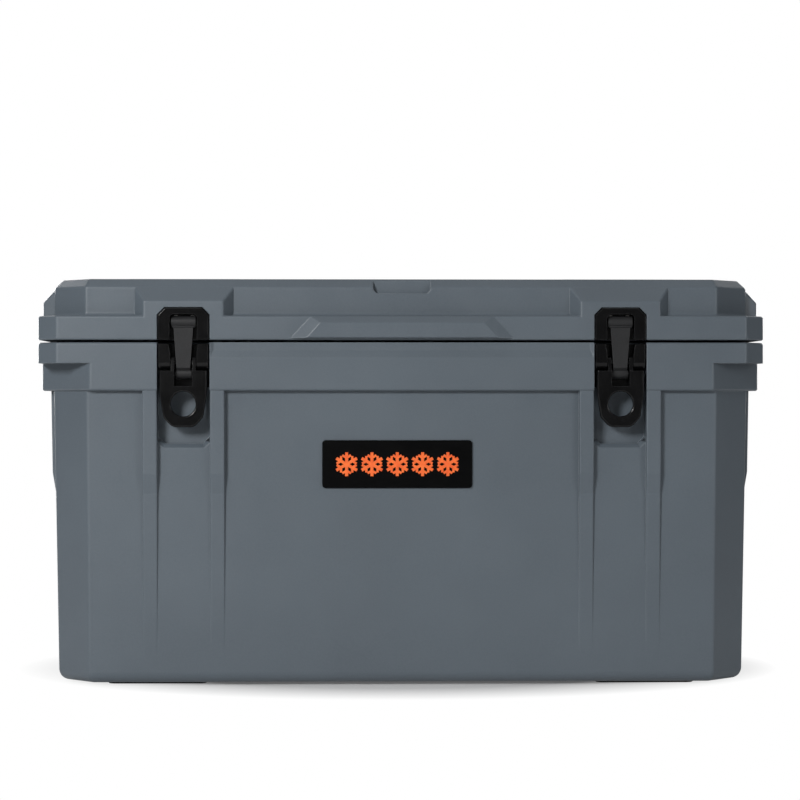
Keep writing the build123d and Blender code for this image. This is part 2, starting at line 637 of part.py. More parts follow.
with BuildPart() as base:
    add_box((-BASE_HALF_WIDTH, BASE_HALF_WIDTH), (BASE_PLATE_FRONT, BAY_FLOOR), (BASE_LOW, BASE_HIGH))
    for side in SIDES:
        inner, outer = sorted((side * CHEEK_INNER, side * BASE_HALF_WIDTH))
        add_box((inner, outer), (PIVOT_Y - CHEEK_RADIUS, BAY_FLOOR), (PIVOT_Z, BASE_HIGH))
        add_rod(PIVOT_Y, PIVOT_Z, CHEEK_RADIUS, inner, outer)
        add_box((inner, outer), (PIVOT_Y, BAY_FLOOR), (PIVOT_Z - CHEEK_RADIUS, PIVOT_Z))
    cheek_front = base.faces().filter_by(Axis.Y).group_by(Axis.Y)[0].edges()
    fillet(cheek_front.filter_by(lambda edge: edge.center().Z > PIVOT_Z + 1), radius=1.0)
    # The cheeks' inner faces open upwards along the link's taper
    for side in SIDES:
        add_front_outline(
            [
                (side * CHEEK_INNER, PIVOT_Z + CHEEK_RADIUS - 4),
                (side * (CHEEK_INNER + CHEEK_FLARE), BASE_HIGH + 1),
                (side * (CHEEK_INNER - 2), BASE_HIGH + 1),
                (side * (CHEEK_INNER - 2), PIVOT_Z + CHEEK_RADIUS - 4),
            ],
            FRONT - 5, BASE_PLATE_FRONT - 1, Mode.SUBTRACT,
        )
    add_rod(PIVOT_Y, PIVOT_Z, PIN_RADIUS, -BASE_HALF_WIDTH, BASE_HALF_WIDTH, Mode.SUBTRACT)
    screw_places = [
        Plane(origin=(x, BASE_PLATE_FRONT, z), z_dir=(0, -1, 0)) for x, z in BASE_SCREWS
    ]
    with Locations(*screw_places):
        Hole(radius=2.1, depth=10)

with BuildPart() as lever:
    with BuildSketch(Plane.XZ.offset(-LEVER_BACK)) as lever_outline:
        Polygon(
            (-LEVER_HALF_WIDTH, LEVER_TOP), (-LEVER_HALF_WIDTH, 319.0), (-21.5, 292.0),
            (-12.0, 281.5), (12.0, 281.5), (21.5, 292.0), (LEVER_HALF_WIDTH, 319.0),
            (LEVER_HALF_WIDTH, LEVER_TOP),
            align=None,
        )
        fillet(lever_outline.vertices().filter_by(lambda v: v.Y < LEVER_TOP - 1), radius=11)
    extrude(lever_outline.sketch, amount=LEVER_BACK - LEVER_FRONT)
    fillet(
        lever.faces().sort_by(Axis.Y)[0].edges().filter_by(lambda e: e.center().Z < LEVER_TOP - 1),
        radius=1.8,
    )
    # Thick upper body that holds the link's pin, and two ears that hold the lever's own pin
    for side in SIDES:
        inner, outer = sorted((side * LEVER_SLOT_HALF_WIDTH, side * EAR_OUTER))
        add_profile(
            [
                (LEVER_BACK - 2, 321.0), (-198.5, 329.0), (-196.6, 334.0), (-196.9, PIVOT_Z),
                (PIVOT_Y - EAR_RADIUS, PIVOT_Z), (LEVER_FRONT + 1.5, LEVER_TOP),
                (LEVER_FRONT + 1.5, 321.0),
            ],
            inner, outer,
        )
        add_rod(PIVOT_Y, PIVOT_Z, EAR_RADIUS, inner, outer)
    add_front_outline(
        [
            (-LEVER_SLOT_HALF_WIDTH, LEVER_SLOT_LOW), (LEVER_SLOT_HALF_WIDTH, LEVER_SLOT_LOW),
            (LEVER_SLOT_HALF_WIDTH, 368.0), (-LEVER_SLOT_HALF_WIDTH, 368.0),
        ],
        LEVER_FRONT - 2, -190, Mode.SUBTRACT,
    )
    # The plate clears the round noses of the base's cheeks
    for side in SIDES:
        inner, outer = sorted((side * (CHEEK_INNER - 0.4), side * (LEVER_HALF_WIDTH + 1)))
        add_rod(PIVOT_Y, PIVOT_Z, CHEEK_RADIUS + 0.4, inner, outer, Mode.SUBTRACT)
    add_rod(PIVOT_Y, PIVOT_Z, PIN_RADIUS + RUNNING_FIT, -30, 30, Mode.SUBTRACT)
    add_rod(LINK_PIN_Y, LINK_PIN_Z, PIN_RADIUS, -30, 30, Mode.SUBTRACT)
    with BuildSketch(Plane.XZ.offset(-LEVER_BACK + 20)) as finger_hole:
        with Locations((0, FINGER_Z)):
            Circle(FINGER_RADIUS)
    extrude(finger_hole.sketch, amount=-40, mode=Mode.SUBTRACT)
    hole_rim = lever.edges().filter_by(GeomType.CIRCLE).filter_by(
        lambda edge: abs(edge.radius - FINGER_RADIUS) < 0.01
    )
    fillet(hole_rim.sort_by(Axis.Y)[0], radius=1.5)

with BuildPart() as link:
    add_profile(
        [
            (-212.0, 389.2), (-210.8, 346.0), (-207.5, 342.5), (LINK_PIN_Y, LINK_PIN_Z),
            (-205.0, 344.5), (-207.0, 349.0), (-207.4, 360.0), (-207.4, 391.0), (HOOK_Y, HOOK_Z),
            (-209.7, 392.5), (-209.7, 390.4),
        ],
        -12, 12,
    )
    # Sides that taper in towards the lever
    for side in SIDES:
        add_front_outline(
            [(side * 10.6, 389.5), (side * 20, 389.5), (side * 20, 328.0), (side * 7.2, 328.0),
             (side * 7.3, 344.0)],
            -230, -190, Mode.SUBTRACT,
        )
    add_rod(HOOK_Y, HOOK_Z, HOOK_RADIUS, -HOOK_HALF_WIDTH, HOOK_HALF_WIDTH)
    add_rod(LINK_PIN_Y, LINK_PIN_Z, BARREL_RADIUS, -BARREL_HALF_WIDTH, BARREL_HALF_WIDTH)
    add_rod(LINK_PIN_Y, LINK_PIN_Z, PIN_RADIUS + RUNNING_FIT, -30, 30, Mode.SUBTRACT)

with BuildPart() as lever_pin:
    add_rod(PIVOT_Y, PIVOT_Z, PIN_RADIUS, -BASE_HALF_WIDTH, BASE_HALF_WIDTH)
    chamfer(lever_pin.edges().filter_by(GeomType.CIRCLE), length=0.4)

with BuildPart() as link_pin:
    add_rod(LINK_PIN_Y, LINK_PIN_Z, PIN_RADIUS, -EAR_OUTER, EAR_OUTER)
    chamfer(link_pin.edges().filter_by(GeomType.CIRCLE), length=0.4)

with BuildPart() as latch_tub_screws:
    for side in SIDES:
        for x, z in BASE_SCREWS:
            add_screw((side * STATION + x, BASE_PLATE_FRONT, z), (0, 1, 0), 3.4, 2.0, 18)

with BuildPart() as latch_lid_screws:
    for side in SIDES:
        for x in (-9.0, 9.0):
            seat = Plane(origin=(side * STATION + x, SLOT_BACK, LID_LOW + 24), z_dir=(0, 1, 0))
            with BuildSketch(seat) as shank:
                Circle(2.0)
            extrude(shank.sketch, amount=20)
            with Locations(seat.offset(0.9)):
                Cone(3.6, 2.0, 1.8)

LATCH_PIECES = (
    (bracket, "latch_bracket"), (base, "latch_base"), (lever, "latch_lever"), (link, "latch_link"),
    (lever_pin, "lever_pin"), (link_pin, "link_pin"),
)
for side, hand in zip(SIDES, ("left", "right")):
    for piece, name in LATCH_PIECES:
        placed = Pos(side * STATION, 0, 0) * piece.part
        placed.label = f"{hand}_{name}"
        export_step(placed, f"parts/{hand}_{name}.step")
for piece, name in ((latch_tub_screws, "latch_tub_screws"), (latch_lid_screws, "latch_lid_screws")):
    piece.part.label = name
    export_step(piece.part, f"parts/{name}.step")

# ------------------------------------------------------------------ hinges
LEAF_HALF_WIDTH = 27.0
LEAF_THICKNESS = 4.5
LEAF_BACK = HALF_DEPTH - HINGE_BAY_DEPTH
LEAF_FRONT = LEAF_BACK + LEAF_THICKNESS
MIDDLE_KNUCKLE = 9.5
OUTER_KNUCKLE = 10.0
TUB_LEAF = (325.0, 367.0)
LID_LEAF = (382.5, 406.0)
HINGE_SCREW_X = 17.0
TUB_SCREW_LEVELS = (333.0, 349.0)
LID_SCREW_LEVEL = 394.0


def add_knuckle(x_low, x_high, leaf_z, away):
    """A hinge eye and the web that joins it to its leaf, above it (away = 1) or below it (-1)."""
    web = [
        (LEAF_BACK, leaf_z - away * 0.5), (LEAF_BACK, leaf_z + away * 8),
        (HINGE_Y + 3.5, HINGE_Z + away * 6.0), (HINGE_Y, HINGE_Z), (HINGE_Y - 6.5, HINGE_Z + away * 2.6),
    ]
    add_profile(web, x_low, x_high)
    add_rod(HINGE_Y, HINGE_Z, KNUCKLE_RADIUS, x_low, x_high)


with BuildPart() as tub_leaf:
    add_box((-LEAF_HALF_WIDTH, LEAF_HALF_WIDTH), (LEAF_BACK, LEAF_FRONT), TUB_LEAF)
    fillet(tub_leaf.edges().filter_by(Axis.Y).group_by(Axis.Z)[0], radius=5)
    fillet(tub_leaf.faces().sort_by(Axis.Y)[-1].edges(), radius=0.8)
    for side in SIDES:
        inner, outer = sorted((side * OUTER_KNUCKLE, side * LEAF_HALF_WIDTH))
        add_knuckle(inner, outer, TUB_LEAF[1], -1)
    add_rod(HINGE_Y, HINGE_Z, HINGE_PIN_RADIUS, -30, 30, Mode.SUBTRACT)
    tub_screw_places = [
        Plane(origin=(side * HINGE_SCREW_X, LEAF_FRONT, z), z_dir=(0, 1, 0))
        for side in SIDES for z in TUB_SCREW_LEVELS
    ]
    with Locations(*tub_screw_places):
        Hole(radius=2.3, depth=10)

with BuildPart() as lid_leaf:
    add_box((-LEAF_HALF_WIDTH, LEAF_HALF_WIDTH), (LEAF_BACK, LEAF_FRONT), LID_LEAF)
    fillet(lid_leaf.edges().filter_by(Axis.Y).group_by(Axis.Z)[-1], radius=5)
    fillet(lid_leaf.faces().sort_by(Axis.Y)[-1].edges(), radius=0.8)
    add_knuckle(-MIDDLE_KNUCKLE, MIDDLE_KNUCKLE, LID_LEAF[0], 1)
    add_rod(HINGE_Y, HINGE_Z, HINGE_PIN_RADIUS + RUNNING_FIT, -30, 30, Mode.SUBTRACT)
    lid_screw_places = [
        Plane(origin=(side * HINGE_SCREW_X, LEAF_FRONT, LID_SCREW_LEVEL), z_dir=(0, 1, 0))
        for side in SIDES
    ]
    with Locations(*lid_screw_places):
        Hole(radius=2.3, depth=10)

with BuildPart() as hinge_pin:
    add_rod(HINGE_Y, HINGE_Z, HINGE_PIN_RADIUS, -LEAF_HALF_WIDTH, LEAF_HALF_WIDTH)
    chamfer(hinge_pin.edges().filter_by(GeomType.CIRCLE), length=0.5)

with BuildPart() as hinge_tub_screws:
    for side in SIDES:
        for x in (-HINGE_SCREW_X, HINGE_SCREW_X):
            for z in TUB_SCREW_LEVELS:
                add_screw((side * STATION + x, LEAF_FRONT, z), (0, -1, 0), 3.6, 2.2, 22)

with BuildPart() as hinge_lid_screws:
    for side in SIDES:
        for x in (-HINGE_SCREW_X, HINGE_SCREW_X):
            place = (side * STATION + x, LEAF_FRONT, LID_SCREW_LEVEL)
            add_screw(place, (0, -1, 0), 3.6, 2.2, 22)

HINGE_PIECES = ((tub_leaf, "hinge_tub_leaf"), (lid_leaf, "hinge_lid_leaf"), (hinge_pin, "hinge_pin"))
for side, hand in zip(SIDES, ("left", "right")):
    for piece, name in HINGE_PIECES:
        placed = Pos(side * STATION, 0, 0) * piece.part
        placed.label = f"{hand}_{name}"
        export_step(placed, f"parts/{hand}_{name}.step")

# ------------------------------------------------------------------ badge
BADGE_LENGTH = 163.0
BADGE_HEIGHT = 52.0
BADGE_THICKNESS = 2.6
BADGE_CENTRE = (-5.3, 241.3)
MOTIF_HEIGHT = 26.0
MOTIF_PITCH = 27.5
MOTIF_COUNT = 5
BAR_WIDTH = 3.4

lean = radians(DRAFT)
wall_face = Plane(
    origin=(BADGE_CENTRE[0], -wall_depth(BADGE_CENTRE[1]), BADGE_CENTRE[1]),
    x_dir=(1, 0, 0), z_dir=(0, -cos(lean), -sin(lean)),
)

with BuildPart() as badge_plate:
    with BuildSketch(wall_face):
        RectangleRounded(BADGE_LENGTH, BADGE_HEIGHT, 3.5)
    extrude(amount=BADGE_THICKNESS)
    fillet(badge_plate.faces().sort_by(Axis.Y)[0].edges(), radius=0.8)

with BuildPart() as badge_motif:
    with BuildSketch(wall_face.offset(BADGE_THICKNESS)):
        with GridLocations(MOTIF_PITCH, 0, MOTIF_COUNT, 1):
            with PolarLocations(0, 3, start_angle=90):
                Rectangle(MOTIF_HEIGHT, BAR_WIDTH)
            with PolarLocations(MOTIF_HEIGHT * 0.27, 6, start_angle=90):
                for turn in (-60, 60):
                    Rectangle(5.5, 2.6, rotation=turn, align=(Align.MIN, Align.CENTER))
    extrude(amount=0.8)

# ------------------------------------------------------------------ drain
SLEEVE_BORE = 10.5
FLANGE_RADIUS = 24.0
FLANGE_THICKNESS = 4.0
FLANGE_FACE = -(DRAIN_RECESS_FLOOR + FLANGE_THICKNESS)
CAVITY_WALL = CAVITY_HALF_WIDTH - 5.5 + (DRAIN_Z - CAVITY_FLOOR) * tan(lean)
INNER_END = -(CAVITY_WALL - 3)
PLUG_RADIUS = SLEEVE_BORE - 0.3
SEAL_THICKNESS = 2.0
CAP_RADIUS = 17.0
CAP_FACE = FLANGE_FACE - SEAL_THICKNESS
CAP_THICKNESS = 5.0

with BuildPart() as drain_fitting:
    add_rod(DRAIN_Y, DRAIN_Z, SLEEVE_RADIUS, -DRAIN_RECESS_FLOOR, INNER_END)
    add_rod(DRAIN_Y, DRAIN_Z, FLANGE_RADIUS, FLANGE_FACE, -DRAIN_RECESS_FLOOR)
    fillet(drain_fitting.faces().sort_by(Axis.X)[0].edges(), radius=1.2)
    add_rod(DRAIN_Y, DRAIN_Z, SLEEVE_BORE, FLANGE_FACE - 1, INNER_END + 1, Mode.SUBTRACT)

with BuildPart() as drain_nut:
    with BuildSketch(Plane.YZ.offset(0.8 - CAVITY_WALL)) as nut:
        with Locations((DRAIN_Y, DRAIN_Z)):
            Circle(NUT_RADIUS)
            Circle(SLEEVE_RADIUS, mode=Mode.SUBTRACT)
            with PolarLocations(NUT_RADIUS + 0.8, 8):
                Circle(1.8, mode=Mode.SUBTRACT)
    extrude(nut.sketch, amount=2.6)

with BuildPart() as drain_seal:
    with BuildSketch(Plane.YZ.offset(CAP_FACE)) as washer:
        with Locations((DRAIN_Y, DRAIN_Z)):
            Circle(CAP_RADIUS - 1)
            Circle(PLUG_RADIUS + 0.1, mode=Mode.SUBTRACT)
    extrude(washer.sketch, amount=SEAL_THICKNESS)
    fillet(drain_seal.faces().sort_by(Axis.X)[0].outer_wire().edges(), radius=0.6)

with BuildPart() as drain_plug:
    add_rod(DRAIN_Y, DRAIN_Z, PLUG_RADIUS, CAP_FACE, FLANGE_FACE + 24)
    chamfer(drain_plug.faces().sort_by(Axis.X)[-1].edges(), length=1.5)
    with BuildSketch(Plane.YZ.offset(CAP_FACE)) as cap:
        with Locations((DRAIN_Y, DRAIN_Z)):
            Circle(CAP_RADIUS)
            with PolarLocations(CAP_RADIUS + 1.2, 10):
                Circle(2.6, mode=Mode.SUBTRACT)
    extrude(cap.sketch, amount=-CAP_THICKNESS)
    fillet(drain_plug.faces().sort_by(Axis.X)[0].edges(), radius=1)
    add_box(
        (CAP_FACE - CAP_THICKNESS - 4.5, CAP_FACE - CAP_THICKNESS),
        (DRAIN_Y - 12, DRAIN_Y + 12), (DRAIN_Z - 2.5, DRAIN_Z + 2.5),
    )
    grip = drain_plug.faces().sort_by(Axis.X)[0]
    fillet(grip.edges(), radius=1.5)

# ------------------------------------------------------------------ feet
with BuildPart() as foot:
    with BuildSketch(Plane.XY):
        RectangleRounded(FOOT_LENGTH, FOOT_WIDTH, 8)
    extrude(amount=BASE + FOOT_SET)
    fillet(foot.faces().sort_by(Axis.Z)[0].edges(), radius=1.2)
    with Locations(*[Plane(origin=(x, 0, 0), z_dir=(0, 0, -1)) for x in (-36.0, 36.0)]):
        CounterBoreHole(radius=2.2, counter_bore_radius=4.6, counter_bore_depth=3.6)

with BuildPart() as foot_screws:
    for x, y in FOOT_CENTRES:
        for step in (-36.0, 36.0):
            add_screw((x + step, y, 3.6), (0, 0, 1), 4.0, 2.0, 14)

for (x, y), name in zip(FOOT_CENTRES, ("front_left", "rear_left", "front_right", "rear_right")):
    placed = Pos(x, y, 0) * foot.part
    placed.label = f"{name}_foot"
    export_step(placed, f"parts/{name}_foot.step")

SINGLE_PIECES = (
    (hinge_tub_screws, "hinge_tub_screws"), (hinge_lid_screws, "hinge_lid_screws"),
    (badge_plate, "badge_plate"), (badge_motif, "badge_motif"),
    (drain_fitting, "drain_fitting"), (drain_nut, "drain_nut"), (drain_seal, "drain_seal"),
    (drain_plug, "drain_plug"), (foot_screws, "foot_screws"),
)
for piece, name in SINGLE_PIECES:
    piece.part.label = name
    export_step(piece.part, f"parts/{name}.step")
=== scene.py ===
"""A hard cooler with a hinged lid and two draw latches, standing in a plain white studio."""
import json
import math

import bpy
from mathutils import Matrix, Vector

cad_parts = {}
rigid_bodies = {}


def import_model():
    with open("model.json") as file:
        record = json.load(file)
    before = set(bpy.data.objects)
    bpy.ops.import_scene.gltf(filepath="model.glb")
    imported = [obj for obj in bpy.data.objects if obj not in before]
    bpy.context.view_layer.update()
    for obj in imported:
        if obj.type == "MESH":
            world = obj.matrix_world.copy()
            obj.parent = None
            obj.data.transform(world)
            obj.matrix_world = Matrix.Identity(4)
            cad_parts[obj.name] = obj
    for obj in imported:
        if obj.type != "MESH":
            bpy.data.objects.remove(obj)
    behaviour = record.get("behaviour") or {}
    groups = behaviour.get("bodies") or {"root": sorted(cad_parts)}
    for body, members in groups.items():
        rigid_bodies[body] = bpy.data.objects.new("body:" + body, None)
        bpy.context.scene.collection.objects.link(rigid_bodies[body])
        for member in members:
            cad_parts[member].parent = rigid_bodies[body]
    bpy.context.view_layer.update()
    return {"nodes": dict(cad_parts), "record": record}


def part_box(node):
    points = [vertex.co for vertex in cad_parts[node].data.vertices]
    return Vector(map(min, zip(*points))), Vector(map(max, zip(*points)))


for leftover in list(bpy.data.objects):
    bpy.data.objects.remove(leftover)

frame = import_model()
nodes = frame["nodes"]
slot_of = {part["node"]: part["material_slot"] for part in frame["record"]["subparts"]}

MM = 0.001
MAP_RANGE_SOCKETS = ("From Min", "From Max", "To Min", "To Max")

LAMP_AIM = Vector((0.0, 0.0, 0.22))  # about the middle of the object's height
SHADOW_HALF_WIDTH = 0.42  # the oval of floor that still shows shading, metres
SHADOW_HALF_DEPTH = 0.31
SHADOW_FADE = (0.72, 1.05)  # where the shading starts and stops fading, as a share of the oval
GLOW_AT_HORIZON = 0.13
GLOW_OVERHEAD = 0.18
SENSOR_WIDTH = 36.0  # mm


# ---------------------------------------------------------------- node material tools
class Finish:
    """One procedural material: a Principled shader and the nodes that feed it."""

    def __init__(self, name, roughness=0.5, **constants):
        self.material = bpy.data.materials.new(name)
        self.material.use_nodes = True
        self.tree = self.material.node_tree
        self.tree.nodes.clear()
        self.output = self.add("ShaderNodeOutputMaterial")
        self.shader = self.add("ShaderNodeBsdfPrincipled")
        self.shader.inputs["Roughness"].default_value = roughness
        for socket, value in constants.items():
            self.shader.inputs[socket.replace("_", " ")].default_value = value
        self.link(self.shader.outputs[0], self.output.inputs["Surface"])
        self.place = self.add("ShaderNodeTexCoord").outputs["Object"]

    def add(self, kind, **settings):
        node = self.tree.nodes.new(kind)
        for name, value in settings.items():
            setattr(node, name, value)
        return node

    def link(self, source, target):
        self.tree.links.new(source, target)

    def feed(self, socket, value):
        """Links an output, or sets a plain value."""
        if isinstance(value, bpy.types.NodeSocket):
            self.link(value, socket)
        else:
            socket.default_value = value

    def stretched(self, x, y, z):
        """The object's own coordinates with each axis scaled."""
        mapping = self.add("ShaderNodeMapping")
        self.link(self.place, mapping.inputs["Vector"])
        mapping.inputs["Scale"].default_value = (x, y, z)
        return mapping.outputs[0]

    def noise(self, size, detail=2.0, roughness=0.5, place=None, distortion=0.0):
        """Noise whose blobs are about this size, in metres."""
        node = self.add("ShaderNodeTexNoise")
        self.link(place or self.place, node.inputs["Vector"])
        node.inputs["Scale"].default_value = 1.0 / size
        node.inputs["Detail"].default_value = detail
        node.inputs["Roughness"].default_value = roughness
        node.inputs["Distortion"].default_value = distortion
        return node.outputs["Fac"]

    def cells(self, size, feature="F1", place=None):
        """Voronoi cells of about this size, in metres."""
        node = self.add("ShaderNodeTexVoronoi", feature=feature)
        self.link(place or self.place, node.inputs["Vector"])
        node.inputs["Scale"].default_value = 1.0 / size
        return node.outputs["Distance"]

    def calc(self, operation, first, second=0.0, clamp=False):
        node = self.add("ShaderNodeMath", operation=operation, use_clamp=clamp)
        self.feed(node.inputs[0], first)
        self.feed(node.inputs[1], second)
        return node.outputs[0]

    def spread(self, value, low, high, to_low=0.0, to_high=1.0):
        """Maps low..high to to_low..to_high, clamped."""
        node = self.add("ShaderNodeMapRange", clamp=True)
        self.feed(node.inputs["Value"], value)
        for socket, number in zip(MAP_RANGE_SOCKETS, (low, high, to_low, to_high)):
            node.inputs[socket].default_value = number
        return node.outputs[0]

    def blend(self, amount, first, second):
        """A colour between two colours."""
        node = self.add("ShaderNodeMix", data_type="RGBA")
        self.feed(node.inputs[0], amount)
        for socket, colour in ((node.inputs[6], first), (node.inputs[7], second)):
            linked = isinstance(colour, bpy.types.NodeSocket)
            self.feed(socket, colour if linked else (*colour, 1.0))
        return node.outputs[2]

    def soft_normal(self, radius):
        """The surface's normal with every edge rounded to this radius."""
        node = self.add("ShaderNodeBevel", samples=6)
        node.inputs["Radius"].default_value = radius
        return node.outputs[0]

    def edge_mask(self, radius, low=0.02, high=0.2):
        """Near 1 on sharp outer and inner edges, 0 on flat faces."""
        geometry = self.add("ShaderNodeNewGeometry")
        dot = self.add("ShaderNodeVectorMath", operation="DOT_PRODUCT")
        self.link(self.soft_normal(radius), dot.inputs[0])
        self.link(geometry.outputs["Normal"], dot.inputs[1])
        return self.spread(self.calc("SUBTRACT", 1.0, dot.outputs["Value"]), low, high)

    def bump(self, height, distance, strength=1.0, normal=None):
        node = self.add("ShaderNodeBump")
        node.inputs["Distance"].default_value = distance
        node.inputs["Strength"].default_value = strength
        self.link(height, node.inputs["Height"])
        if normal is not None:
            self.link(normal, node.inputs["Normal"])
        return node.outputs[0]

    def wear(self, colour=None, roughness=None, normal=None):
        """Connects what the nodes have made to the shader."""
        for socket, value in (("Base Color", colour), ("Roughness", roughness), ("Normal", normal)):
            if value is not None:
                self.link(value, self.shader.inputs[socket])
        return self.material


# ---------------------------------------------------------------- finishes
def moulded_shell():
    """Satin slate polyethylene from a rotational mould: fine grain, soft waves, and edges lightened
    in patches, partly rubbed wear and partly a painted edge highlight.
    """
    f = Finish("moulded_shell", Specular_IOR_Level=0.45)
    broad = f.noise(0.16, 3.0, 0.55)
    grain = f.noise(1.6 * MM, 4.0, 0.62)
    flecks = f.noise(0.55 * MM, 2.0, 0.5)
    body = f.blend(f.spread(broad, 0.3, 0.7), (0.080, 0.098, 0.116), (0.092, 0.113, 0.133))
    grained = f.blend(f.spread(grain, 0.35, 0.7, 0.0, 0.30), body, (0.115, 0.138, 0.160))
    flecked = f.blend(f.spread(flecks, 0.62, 0.74, 0.0, 0.35), grained, (0.063, 0.077, 0.090))
    # Lighter tint on every outer and inner edge, broken into patches: partly rubbed wear, partly a
    # painted edge highlight.
    edge = f.edge_mask(1.6 * MM)
    patches = f.spread(f.noise(14 * MM, 4.0, 0.6), 0.35, 0.65, 0.15, 0.6)
    edge_wear_and_highlight = f.calc("MULTIPLY", edge, patches)
    colour = f.blend(edge_wear_and_highlight, flecked, (0.200, 0.230, 0.256))
    smudges = f.noise(45 * MM, 4.0, 0.6, distortion=0.6)
    gloss = f.spread(smudges, 0.35, 0.7, 0.38, 0.47)
    roughness = f.calc("ADD", gloss, f.spread(grain, 0.3, 0.7, -0.03, 0.04))
    waves = f.bump(f.noise(55 * MM, 1.0, 0.4), 0.5 * MM, 0.35, f.soft_normal(1.4 * MM))
    skin = f.bump(grain, 0.12 * MM, 0.45, waves)
    return f.wear(colour, roughness, skin)


def glossy_black():
    """Injection moulded latch plastic: near black, shiny, with faint dust and lighter edges that are
    partly rubbed wear and partly a painted edge highlight.
    """
    f = Finish("glossy_black", Specular_IOR_Level=0.30)
    cloud = f.noise(22 * MM, 3.0, 0.55)
    dust = f.noise(0.5 * MM, 2.0, 0.5)
    edge = f.edge_mask(0.9 * MM)
    colour = f.blend(f.spread(cloud, 0.3, 0.7), (0.0018, 0.0018, 0.0020), (0.0034, 0.0034, 0.0037))
    dusty = f.blend(f.spread(dust, 0.64, 0.74, 0.0, 0.25), colour, (0.012, 0.012, 0.013))
    # Grey tint on outer and inner edges: partly rubbed wear, partly a painted edge highlight.
    with_edge_wear_and_highlight = f.blend(f.calc("MULTIPLY", edge, 0.5), dusty, (0.050, 0.051, 0.054))
    gloss = f.spread(cloud, 0.3, 0.7, 0.15, 0.22)
    roughness = f.calc("ADD", gloss, f.spread(dust, 0.5, 0.75, 0.0, 0.08))
    normal = f.bump(f.noise(1.1 * MM, 3.0, 0.5), 0.05 * MM, 0.3, f.soft_normal(0.6 * MM))
    return f.wear(with_edge_wear_and_highlight, roughness, normal)


def matte_black():
    """The draw link's plate: a finely etched matte face whose corners and edges are lighter, partly
    rubbed wear and partly a painted edge highlight.
    """
    f = Finish("matte_black", Specular_IOR_Level=0.25)
    grain = f.noise(0.8 * MM, 3.0, 0.6)
    cloud = f.noise(18 * MM, 3.0, 0.5)
    colour = f.blend(f.spread(grain, 0.35, 0.7), (0.015, 0.0153, 0.0162), (0.024, 0.0244, 0.0256))
    # Lighter tint on outer and inner edges: partly rubbed wear, partly a painted edge highlight.
    with_edge_wear_and_highlight = f.blend(f.calc("MULTIPLY", f.edge_mask(0.9 * MM), 0.5), colour, (0.065, 0.066, 0.07))
    roughness = f.spread(cloud, 0.3, 0.7, 0.42, 0.55)
    normal = f.bump(grain, 0.10 * MM, 0.5, f.soft_normal(0.6 * MM))
    return f.wear(with_edge_wear_and_highlight, roughness, normal)


def badge_face():
    """The badge's plate: satin black with a fine brushed line along its length."""
    f = Finish("badge_face", Specular_IOR_Level=0.06)
    lines = f.noise(0.5 * MM, 2.0, 0.6, f.stretched(0.03, 1.0, 1.0))
    cloud = f.noise(30 * MM, 2.0, 0.5)
    colour = f.blend(f.spread(lines, 0.35, 0.7), (0.0008, 0.0009, 0.0010), (0.0020, 0.0021, 0.0023))
    # Lighter tint on outer and inner edges: partly rubbed wear, partly a painted edge highlight.
    with_edge_wear_and_highlight = f.blend(f.calc("MULTIPLY", f.edge_mask(0.8 * MM), 0.5), colour, (0.05, 0.052, 0.056))
    gloss = f.spread(cloud, 0.3, 0.7, 0.36, 0.46)
    roughness = f.calc("ADD", gloss, f.spread(lines, 0.3, 0.7, -0.04, 0.05))
    normal = f.bump(lines, 0.04 * MM, 0.4, f.soft_normal(0.5 * MM))
    return f.wear(with_edge_wear_and_highlight, roughness, normal)


def orange_enamel():
    """Orange enamel, a little deeper where it pools, with lighter specks painted in as pearl glints.
    """
    f = Finish("orange_enamel", Coat_Weight=0.5, Coat_Roughness=0.12)
    pool = f.noise(6 * MM, 2.0, 0.5)
    speck = f.noise(0.4 * MM, 2.0, 0.5)
    colour = f.blend(f.spread(pool, 0.3, 0.7), (0.80, 0.105, 0.018), (0.93, 0.175, 0.028))
    # Bright specks in the colour: painted glints standing in for a pearl sparkle.
    pearl_glint_specks = f.blend(f.spread(speck, 0.6, 0.75, 0.0, 0.35), colour, (1.0, 0.33, 0.10))
    roughness = f.spread(pool, 0.3, 0.7, 0.28, 0.40)
    normal = f.bump(speck, 0.03 * MM, 0.4, f.soft_normal(0.35 * MM))
    return f.wear(pearl_glint_specks, roughness, normal)


def brushed_steel():
    """Stainless screws and pins, turned, with fine rings and a few dull spots."""
    f = Finish("brushed_steel", Metallic=1.0, Anisotropic=0.4)
    lines = f.noise(0.25 * MM, 2.0, 0.5, f.stretched(0.15, 1.0, 1.0))
    spots = f.noise(3 * MM, 3.0, 0.6)
    colour = f.blend(f.spread(spots, 0.4, 0.7), (0.60, 0.60, 0.585), (0.47, 0.465, 0.45))
    gloss = f.spread(spots, 0.35, 0.7, 0.24, 0.38)
    roughness = f.calc("ADD", gloss, f.spread(lines, 0.3, 0.7, -0.04, 0.06))
    normal = f.bump(lines, 0.02 * MM, 0.5, f.soft_normal(0.25 * MM))
    return f.wear(colour, roughness, normal)


def soft_rubber(name, dark, pale, grain_size):
    """Black rubber: matte, a little dusty, finely pitted."""
    f = Finish(name, Specular_IOR_Level=0.3)
    pits = f.cells(grain_size)
    dust = f.noise(12 * MM, 4.0, 0.6)
    colour = f.blend(f.spread(dust, 0.35, 0.75), dark, pale)
    # Lighter tint on outer and inner edges: partly rubbed wear, partly a painted edge highlight.
    edge_wear_and_highlight = tuple(2.2 * channel for channel in pale)
    with_edge_wear_and_highlight = f.blend(f.calc("MULTIPLY", f.edge_mask(0.8 * MM), 0.5), colour, edge_wear_and_highlight)
    roughness = f.spread(dust, 0.3, 0.7, 0.62, 0.82)
    normal = f.bump(pits, 0.08 * MM, 0.5, f.soft_normal(0.6 * MM))
    return f.wear(with_edge_wear_and_highlight, roughness, normal)


